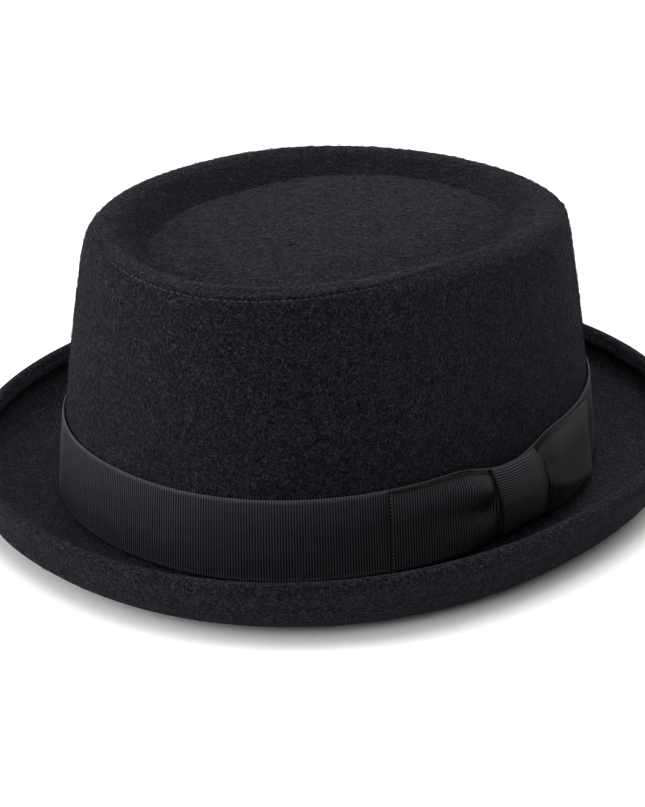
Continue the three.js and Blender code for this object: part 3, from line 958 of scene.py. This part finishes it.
def strew_fibres(name, points, rows, count, standing, flipped, chance):
    """Fine spindles of wool, each bent once, lying on a surface or standing up from it"""
    if not len(rows):
        raise RuntimeError(f"{name} has no felt to lie on")
    here = points[rows]
    above = points[rows + 1]
    here_next = np.roll(here, -1, axis=1)
    above_next = np.roll(above, -1, axis=1)
    along = here_next - here
    across = above - here
    normal = np.cross(along, across)
    area = np.linalg.norm(normal, axis=2)
    cell = chance.choice(area.size, count, p=(area / area.sum()).ravel())
    u = chance.random(count)[:, None]
    v = chance.random(count)[:, None]
    corners = [grid.reshape(-1, 3)[cell] for grid in (here, here_next, above, above_next)]
    at = mix(mix(corners[0], corners[1], u), mix(corners[2], corners[3], u), v)
    along = unit(corners[1] - corners[0])
    normal = unit(np.cross(along, corners[2] - corners[0]))
    if normal_points_in(at, normal) != flipped:
        normal = -normal
    across = np.cross(normal, along)
    angle = chance.random(count)[:, None] * TURN
    lying = along * np.cos(angle) + across * np.sin(angle)
    sideways = np.cross(normal, lying)
    stands = (chance.random(count) < standing)[:, None]
    steep = chance.uniform(*STANDING_TILT, (count, 1))
    tilt = np.where(stands, steep, chance.uniform(*LYING_TILT, (count, 1)))
    short = chance.uniform(*STANDING_LENGTH, (count, 1))
    size = np.where(stands, short, chance.uniform(*LYING_LENGTH, (count, 1)))
    heading = lying * np.cos(tilt) + normal * np.sin(tilt)
    base = at - normal * 0.00004
    tip = base + heading * size
    curl = sideways * chance.normal(0, FIBRE_BEND, (count, 1)) * size
    lift = normal * chance.uniform(*FIBRE_LIFT, (count, 1)) * size
    side_up = np.cross(heading, sideways)
    thick = chance.uniform(*FIBRE_HALF, (count, 1))
    rings = []
    for share in (0.3, 0.7):
        middle = base + heading * size * share + curl + lift
        spokes = np.arange(3) * TURN / 3 + 0.5
        rings.append([
            middle + (sideways * math.cos(spoke) + side_up * math.sin(spoke)) * thick
            for spoke in spokes])
    tone = chance.random(count) ** 2
    return repeat_tube(name, rings, [base, tip], tone)


def repeat_tube(name, rings, ends, tone):
    """Models one closed three-sided tube and repeats it in one mesh, bent to the rings and ends
    of each copy, with each copy's tone"""
    model, ring, place = new_tube(name, len(rings[0]), len(rings), True)
    bpy.ops.object.mode_set(mode="EDIT")
    bpy.ops.mesh.select_all(action="SELECT")
    bpy.ops.mesh.quads_convert_to_tris(quad_method="FIXED_ALTERNATE")
    bpy.ops.object.mode_set(mode="OBJECT")
    count = len(tone)
    at = np.stack([
        ends[ring[i]] if place[i] < 0 else rings[ring[i]][place[i]] for i in range(len(ring))], 1)
    at[..., 2] = np.maximum(at[..., 2], FLOOR_GAP)
    corner = np.zeros(len(model.data.loops), int)
    model.data.loops.foreach_get("vertex_index", corner)
    start = np.zeros(len(model.data.polygons), int)
    model.data.polygons.foreach_get("loop_start", start)
    copies = np.arange(count)[:, None]
    mesh = bpy.data.meshes.new(name)
    mesh.vertices.add(count * len(ring))
    mesh.vertices.foreach_set("co", at.ravel())
    mesh.loops.add(count * len(corner))
    mesh.loops.foreach_set("vertex_index", (corner + copies * len(ring)).ravel())
    mesh.polygons.add(count * len(start))
    mesh.polygons.foreach_set("loop_start", (start + copies * len(corner)).ravel())
    mesh.update(calc_edges=True)
    model.data = mesh
    layer = mesh.attributes.new("tone", "FLOAT", "POINT")
    layer.data.foreach_set("value", np.repeat(tone, len(ring)).astype(np.float32))
    return model


def normal_points_in(at, normal):
    """Whether most normals look towards the hat's axis, or down"""
    outward = at * np.array([1, 1, 0])
    return np.mean(np.sum(normal * outward, 1) + 0.05 * normal[:, 2]) < 0


def ribs_along(run, ribbon, per_rib):
    """The ribs along a length of ribbon, with narrow hollows between them: how many there are,
    how many places they take, and the height share of a rib at each place"""
    ribs = round(run / ribbon.rib_pitch)
    around = ribs * per_rib
    phase = np.arange(around) % per_rib / per_rib
    return ribs, around, np.abs(np.sin(phase * math.pi)) ** 0.8


class HatBand(bpy.types.Operator):
    """Makes the ribbed band round the crown"""

    bl_idname = "hat.band"
    bl_label = "Band"

    def execute(self, context):
        hat = Hat(context.scene)
        ribbon = hat.ribbon
        foot = hat.crown.foot_height
        _, length_round = hat.even_turns(8, hat.band_middle())
        ribs, around, rib = ribs_along(length_round, ribbon, 4)
        turns, _ = hat.even_turns(around, hat.band_middle())
        face = ribbon.clearance + ribbon.layer
        loop = (rib - 0.5) * BAND_LOOP
        top = hat.band_top(turns)
        points = []
        for share, set_in, edge in BAND_ROWS:
            height = mix(foot, top, share)
            if edge == 1.0:
                height = height + loop * (1 if share > 0.5 else -1)
            distance = face + set_in - ribbon.rib_depth * (1 - rib)
            points.append(hat.beside_wall(turns, height, distance))
        for share in BAND_BACK:
            height = mix(foot, top, share)
            points.append(hat.beside_wall(turns, height, face - ribbon.thickness))
        # The back rows get the painted shade of the ribbon's back, and the selvedge rows a painted
        # highlight
        rows = [(rib, edge) for _, _, edge in BAND_ROWS] + [(PAINTED_BACK_SHADE, 0)] * len(BAND_BACK)
        rib, selvedge = (
            np.stack([np.broadcast_to(row[k], around) for row in rows]) for k in (0, 1))
        attributes = {"rib": rib, "selvedge": selvedge}
        piece = shape_tube("band", np.stack(points), ribs, attributes)
        finish_piece(piece, ribbon_material(hat), "hat_band")
        return {"FINISHED"}


def strip_points(middle, thickness, rib, rib_depth):
    """A closed strip's outer and inner face from its middle surface, as middle[row, place]"""
    around = np.roll(middle, -1, axis=1) - np.roll(middle, 1, axis=1)
    across = np.gradient(middle, axis=0)
    normal = unit(np.cross(around, across))
    from_middle = middle - middle.mean((0, 1))
    if np.sum(normal * from_middle) < 0:
        normal = -normal
    raised = thickness / 2 - rib_depth * (1 - rib)
    return middle + normal * raised[..., None], middle - normal * thickness / 2


def make_strip(name, hat, middle, rib, shade, replaced, ribs):
    """A closed loop of ribbon with its ribs on the outer face, and painted shade at its edges and
    folds and on its back
    """
    rows, around = middle.shape[:2]
    ribbon = hat.ribbon
    outer, inner = strip_points(middle, ribbon.thickness, rib, ribbon.rib_depth)
    keep = [i for i in range(rows - 1, -1, -1) if i % 2 == 0 or i == rows - 1]
    points = np.concatenate([outer, inner[keep]])
    shown = np.concatenate([rib * shade, np.full((len(keep), around), PAINTED_BACK_SHADE)])
    piece = shape_tube(name, points, ribs, {"rib": shown})
    finish_piece(piece, ribbon_material(hat, name + "_weave"), replaced)
    return piece


def wing_loop(hat):
    """The bow's closed loop seen from above: the place along the hat, the layer from 1 outside to
    -1 inside, and the run to each of its points"""
    bow = hat.bow
    turn_in = (bow.wing_thickness - hat.ribbon.thickness) / 2
    angle = np.linspace(0, math.pi, 9)[1:-1]
    bend = turn_in * np.sin(angle)
    turned = np.cos(angle)
    front_end = -bow.front_wing + turn_in
    back_end = bow.back_wing - turn_in
    outer = np.linspace(front_end, back_end, 400)
    flat = np.ones(len(outer))
    along = np.concatenate([outer, back_end + bend, outer[::-1], front_end - bend, outer[:1]])
    side = np.concatenate([flat, turned, -flat, -turned, flat[:1]])
    return along, side, run_along(np.stack([along, side * turn_in], -1))


def back_fold(out):
    """The fold along the back wing, at shares of the way to its end: its height share, its puff
    and how far it takes the place of the wing's own puff"""
    away = np.clip((out - 0.22) / 0.78, 0, 1)
    puff = (1.15 * (1 - away) ** 0.55 + 0.08) * eased(away / 0.1)
    return mix(0.47, 0.05, away), puff, eased((out - 0.2) / 0.08)


class HatBow(bpy.types.Operator):
    """Makes the bow's two wings from one closed loop of ribbon"""

    bl_idname = "hat.bow"
    bl_label = "Bow"

    def execute(self, context):
        hat = Hat(context.scene)
        bow = hat.bow
        ribbon = hat.ribbon
        thick = ribbon.thickness
        table_along = np.array([
            row[0] * (bow.front_wing if row[0] < 0 else bow.back_wing) for row in BOW_ROWS])
        loop_along, loop_side, run = wing_loop(hat)
        ribs, around, rib = ribs_along(run[-1], ribbon, 4)
        wanted = np.arange(around) / around * run[-1]
        along = np.interp(wanted, run, loop_along)
        side = np.interp(wanted, run, loop_side)
        columns = [[*row[1:5], *row[5]] for row in BOW_ROWS]
        values = through(columns, table_along, along)
        foot, top, swell, gather = values[:, :4].T
        gather = np.clip(gather, 0, 1)
        face = values[:, 4:]
        pinch_height = bow.knot_height - 2 * (ribbon.layer + ribbon.clearance) - 2 * bow.knot_waist
        tuck = (ribbon.width - pinch_height) / 2
        low = hat.band_middle() - ribbon.width / 2 + tuck * foot
        high = hat.band_middle() + ribbon.width / 2 - tuck * top + bow.wing_rise * swell
        back = hat.over_band() + (ribbon.layer + ribbon.clearance) * gather
        turns = hat.turn_along(bow.knot_middle + along)
        # Past the knot the back wing's ribs lie nearly flat
        rib = mix(rib, 0.78, 0.9 * eased((along - bow.knot_width * 0.72) / 0.009))
        fold_at, fold_puff, folded = back_fold(along / bow.back_wing)
        shares = np.array([0, 0.015, 0.045, *np.linspace(0.08, 0.92, 22), 0.955, 0.985, 1])
        knot_near = np.exp(-((np.abs(along) - bow.knot_width / 2) / 0.007).clip(0) ** 1.3)
        middle = []
        for share in shares:
            puff = through(face.T, np.linspace(0, 1, 7), np.array([share]))[0]
            above = np.clip((1 - share) / (1 - fold_at), 0, 1) ** 1.1
            below = np.clip(share / fold_at, 0, 1) ** 0.8
            puff = mix(puff, fold_puff * np.minimum(above, below), folded)
            wing = bow.wing_thickness + bow.wing_puff * np.maximum(puff, 0)
            upward = 2 * share - 1
            depth = mix(wing, max(hat.pinch(upward), 2 * thick), gather)
            pleats = 0.00026 * np.cos(share * TURN * 3.5 + 0.8) * knot_near * (1 - gather)
            depth = np.maximum(depth + pleats, 2 * thick)
            reach = thick / 2 + (depth - thick) * (side + 1) / 2
            height = mix(low, high, share)
            if share in (0, 1):
                height = height + (rib - 0.5) * WING_LOOP * (1 if share else -1)
            middle.append(hat.beside_wall(turns, height, back + reach))
        # Painted shade: the ribs are darkened along the wing's top and bottom edges and round the
        # folds at its ends
        edge = np.clip((0.5 - np.abs(shares - 0.5)) / 0.03, 0.25, 1)
        fold = np.where(np.abs(side) < 0.97, 0.2, 1)
        shade = edge[:, None] * fold
        piece = make_strip("bow_wings", hat, np.stack(middle), rib, shade, "bow_ribbon", ribs)
        return {"FINISHED"}


def knot_section(angle):
    """Shares of the knot's half height and of its depth, round its section"""
    outward = (1 + power(np.cos(angle), 2 / KNOT_EXPONENT)) / 2
    return power(np.sin(angle), 2 / KNOT_EXPONENT), outward


class HatKnot(bpy.types.Operator):
    """Makes the loop of ribbon that holds the bow"""

    bl_idname = "hat.knot"
    bl_label = "Knot"

    def execute(self, context):
        hat = Hat(context.scene)
        bow = hat.bow
        ribbon = hat.ribbon
        layer = ribbon.layer + ribbon.clearance
        fine = np.linspace(0, TURN, 3601)
        upward, outward = knot_section(fine)
        depth = hat.pinch(upward) + 2 * layer
        run = run_along(np.stack([upward * bow.knot_height / 2, depth * outward], -1))
        ribs, around, rib = ribs_along(run[-1], ribbon, 6)
        angle = np.interp(np.arange(around) / around * run[-1], run, fine)
        upward, outward = knot_section(angle)
        middle = []
        shares = np.array([-1, -0.97, -0.92, *np.linspace(-0.8, 0.8, 9), 0.92, 0.97, 1])
        inset = ribbon.thickness / 2
        for share in shares:
            waist = eased((1 - abs(share)) / 0.6)
            half_height = bow.knot_height / 2 - bow.knot_waist * waist - inset
            extra = 2 * layer + bow.knot_bulge * waist - 2 * inset
            lean = bow.knot_lean * upward * outward
            along = bow.knot_middle + share * bow.knot_width / 2 + lean
            reach = inset + (hat.pinch(upward) + extra) * outward
            height = hat.band_middle() + half_height * upward
            middle.append(
                hat.beside_wall(hat.turn_along(along), height, hat.over_band() + reach))
        # Painted shade: the ribs are darkened towards the knot's two side edges
        shade = np.clip((1 - np.abs(shares)) / 0.08, 0.15, 1)[:, None] * np.ones(around)
        piece = make_strip("knot", hat, np.stack(middle), rib, shade, "bow_knot", ribs)
        return {"FINISHED"}


def new_stitch(half_length, half_width, slack):
    """One stitch of thread, lying along X and bowed up in its middle"""
    deselect_all()
    bpy.ops.mesh.primitive_uv_sphere_add(segments=8, ring_count=7, radius=1)
    stitch = bpy.context.object
    bpy.ops.object.mode_set(mode="EDIT")
    bpy.ops.transform.rotate(value=math.pi / 2, orient_axis="Y", center_override=(0, 0, 0))
    bpy.ops.transform.resize(value=(half_length, half_width, half_width), center_override=(0, 0, 0))
    bpy.ops.object.mode_set(mode="OBJECT")
    for vertex in stitch.data.vertices:
        share = vertex.co.x / half_length
        vertex.co.z += slack * (1 - 2 * share * share)
    return stitch


def sew(name, stitch, places, material):
    """Copies a stitch to each place, given as its middle, its direction and its way up"""
    copies = []
    for middle, along, up in places:
        along = Vector(along).normalized()
        side = Vector(up).cross(along).normalized()
        up = along.cross(side)
        matrix = Matrix((along, side, up)).transposed().to_4x4()
        matrix.translation = Vector(middle)
        copy = stitch.copy()
        copy.data = stitch.data.copy()
        copy.data.transform(matrix)
        bpy.context.scene.collection.objects.link(copy)
        copies.append(copy)
    bpy.data.objects.remove(stitch)
    deselect_all()
    for copy in copies:
        copy.select_set(True)
    bpy.context.view_layer.objects.active = copies[0]
    bpy.ops.object.join()
    seam = bpy.context.object
    seam.name = name
    seam.data.name = name
    finish_piece(seam, material)


def ridge_places(hat):
    """Places of the ridge's stitches, which lie on the felt in front and sink into it behind"""
    surface = felt_surface(hat, SEAM_PLACES)
    over = surface["over"]
    run = surface["from_crest"]
    wanted = surface["seam"]
    rows = np.arange(len(run))
    every = np.arange(SEAM_PLACES)
    row = np.array([np.interp(wanted[i], run[:, i], rows) for i in every])
    low = np.floor(row).astype(int)
    line = mix(over[low, every], over[low + 1, every], (row - low)[:, None])
    across = over[low + 1, every] - over[low, every]
    tangent = np.roll(line, -1, axis=0) - np.roll(line, 1, axis=0)
    normal = unit(np.cross(tangent, across))
    outwards = line - line.mean(0) + np.array([0, 0, 0.1])
    normal *= np.sign(np.sum(normal * outwards, 1))[:, None]
    reach = run_along(np.concatenate([line, line[:1]]))
    count = round(reach[-1] / hat.crown.stitch)
    places = []
    for k in range(count):
        at = min(int(np.searchsorted(reach, k / count * reach[-1])), SEAM_PLACES - 1)
        along = unit(tangent[at]) + unit(across[at]) * 0.12
        rise = mix(-0.0006, 0.00012, surface["facing"][at] ** 2)
        places.append((line[at] + normal[at] * rise, along, normal[at]))
    return places


def bow_end_places(hat):
    """Places of the slanting stitches down the ends of both wings"""
    bow = hat.bow
    back = hat.over_band() + bow.wing_thickness
    per_end = 22
    places = []
    for end, stop in ((-bow.front_wing, 0.97), (bow.back_wing, 0.93)):
        here = bow.knot_middle + end - math.copysign(0.0005, end)
        turn, next_turn = (np.array([hat.turn_along(here + step)]) for step in (0, 0.001))
        for share in np.linspace(0.03, stop, per_end):
            height = np.array([hat.crown.foot_height + hat.ribbon.width * share])
            middle = hat.beside_wall(turn, height, back)[0]
            outer = hat.beside_wall(turn, height, back + 0.001)[0]
            along = hat.beside_wall(next_turn, height, back)[0] - middle
            places.append((middle, unit(along) + np.array([0, 0, 0.75]), unit(outer - middle)))
    return places


class HatStitches(bpy.types.Operator):
    """Sews the ridge of the crown and the ends of the bow"""

    bl_idname = "hat.stitches"
    bl_label = "Stitches"

    def execute(self, context):
        hat = Hat(context.scene)
        thread = thread_material()
        sew("ridge_stitches", new_stitch(*RIDGE_STITCH), ridge_places(hat), thread)
        sew("bow_stitches", new_stitch(*BOW_STITCH), bow_end_places(hat), thread)
        return {"FINISHED"}


class HatStage(bpy.types.Operator):
    """Makes the floor, the lights and the camera"""

    bl_idname = "hat.stage"
    bl_label = "Stage"

    def execute(self, context):
        hat = Hat(context.scene)
        deselect_all()
        bpy.ops.mesh.primitive_plane_add(size=12, location=(0, 0, 0))
        floor = context.object
        floor.name = "floor"
        paper = Finish("studio_paper", Roughness=0.9, Specular_IOR_Level=0.1)
        tone = paper.noise(paper.place(), 40.0, 2.0)
        pale = (*hat.finish.floor_colour, 1)
        paler = tuple(min(1, part * 1.02) for part in hat.finish.floor_colour) + (1,)
        paper.feed("Base Color", paper.blend(tone, pale, paler))
        floor.data.materials.append(paper.material)

        scene = context.scene
        world = bpy.data.worlds.new("studio_air")
        world.use_nodes = True
        background = world.node_tree.nodes["Background"]
        background.inputs["Color"].default_value = (1, 1, 1, 1)
        background.inputs["Strength"].default_value = 0.045
        scene.world = world
        scene.view_settings.view_transform = "Standard"
        azimuth = math.radians(CAMERA_AZIMUTH)
        rise = math.radians(CAMERA_RISE)
        right = Vector((math.cos(azimuth), math.sin(azimuth), 0))
        level = Vector((math.sin(azimuth), -math.cos(azimuth), 0))
        back = level * math.cos(rise) + Vector((0, 0, math.sin(rise)))
        up = back.cross(right)
        middle = Vector((0, 0, 0.05))
        for name, to_right, to_back, upwards, watts in SOFTBOXES:
            place = middle + right * to_right - level * to_back + Vector((0, 0, upwards))
            add_soft_light(name, place, middle, watts)
        place = middle + back * CAMERA_AWAY
        target = middle + right * CAMERA_AIM[0] + up * CAMERA_AIM[1]
        bpy.ops.object.camera_add(location=place)
        camera = context.object
        camera.name = "photo_camera"
        camera.rotation_euler = (target - place).to_track_quat("-Z", "Y").to_euler()
        camera.data.sensor_width = 36
        camera.data.lens = CAMERA_LENS
        camera.data.clip_start = 0.01
        scene.camera = camera
        return {"FINISHED"}


def add_soft_light(name, place, target, watts):
    """A square softbox that faces the hat"""
    bpy.ops.object.light_add(type="AREA", location=place)
    light = bpy.context.object
    light.name = name
    light.data.shape = "SQUARE"
    light.data.size = 1.0
    light.data.energy = watts
    light.rotation_euler = (target - place).to_track_quat("-Z", "Y").to_euler()


STEPS = ["felt_shell", "nap", "band", "bow", "knot", "stitches", "stage"]


class HatPanel(bpy.types.Panel):
    """Lists the hat's sizes and the steps that make it"""

    bl_idname = "VIEW3D_PT_hat"
    bl_label = "Hat"
    bl_space_type = "VIEW_3D"
    bl_region_type = "UI"
    bl_category = "Hat"

    def draw(self, context):
        for name in STEPS:
            self.layout.operator("hat." + name)
        for group in GROUPS:
            settings = getattr(context.scene, group)
            for key in settings.bl_rna.properties.keys():
                if key not in ("rna_type", "name"):
                    self.layout.prop(settings, key)


GROUPS = {
    "hat_crown": CrownSettings,
    "hat_brim": BrimSettings,
    "hat_ribbon": RibbonSettings,
    "hat_bow": BowSettings,
    "hat_finish": FinishSettings,
}
OPERATORS = [HatFeltShell, HatNap, HatBand, HatBow, HatKnot, HatStitches, HatStage]


def register():
    for made in [*GROUPS.values(), *OPERATORS, HatPanel]:
        bpy.utils.register_class(made)
    for name, settings in GROUPS.items():
        setattr(bpy.types.Scene, name, PointerProperty(type=settings))


def unregister():
    for name in GROUPS:
        delattr(bpy.types.Scene, name)
    for made in reversed([*GROUPS.values(), *OPERATORS, HatPanel]):
        bpy.utils.unregister_class(made)


def main():
    register()
    for name in STEPS:
        getattr(bpy.ops.hat, name)()


if __name__ == "__main__":
    main()
